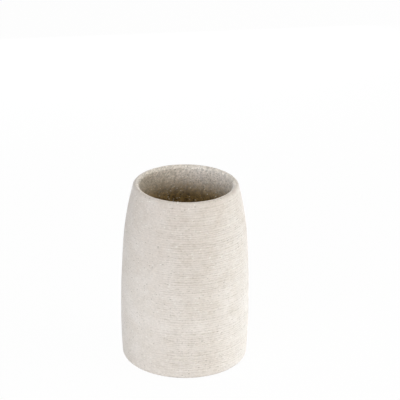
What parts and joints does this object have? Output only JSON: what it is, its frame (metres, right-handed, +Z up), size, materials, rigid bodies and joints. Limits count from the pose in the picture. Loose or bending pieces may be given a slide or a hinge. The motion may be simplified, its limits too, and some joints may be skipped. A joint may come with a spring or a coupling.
{
  "type": "bathroom tumbler",
  "caption": "Barrel-shaped stone-resin bathroom tumbler with fine horizontal ribs, a rounded lip and a foam anti-slip disc under its base; stands on a vanity and holds toothbrushes.",
  "frame": {"origin": "centre of the flat underside of the anti-slip disc, on the surface that the tumbler stands on", "axes": "+Z up along the axis that the tumbler is turned about, out of its mouth; X and Y are equivalent"},
  "size_m": [0.076, 0.076, 0.11],
  "materials": {
    "sand_resin": "matte",
    "adhesive_film": "satin",
    "foam_pad": "matte"
  },
  "bodies": {
    "root": {"cup_body": "sand_resin", "adhesive_disc": "adhesive_film", "anti_slip_pad": "foam_pad"}
  },
  "joints": []
}
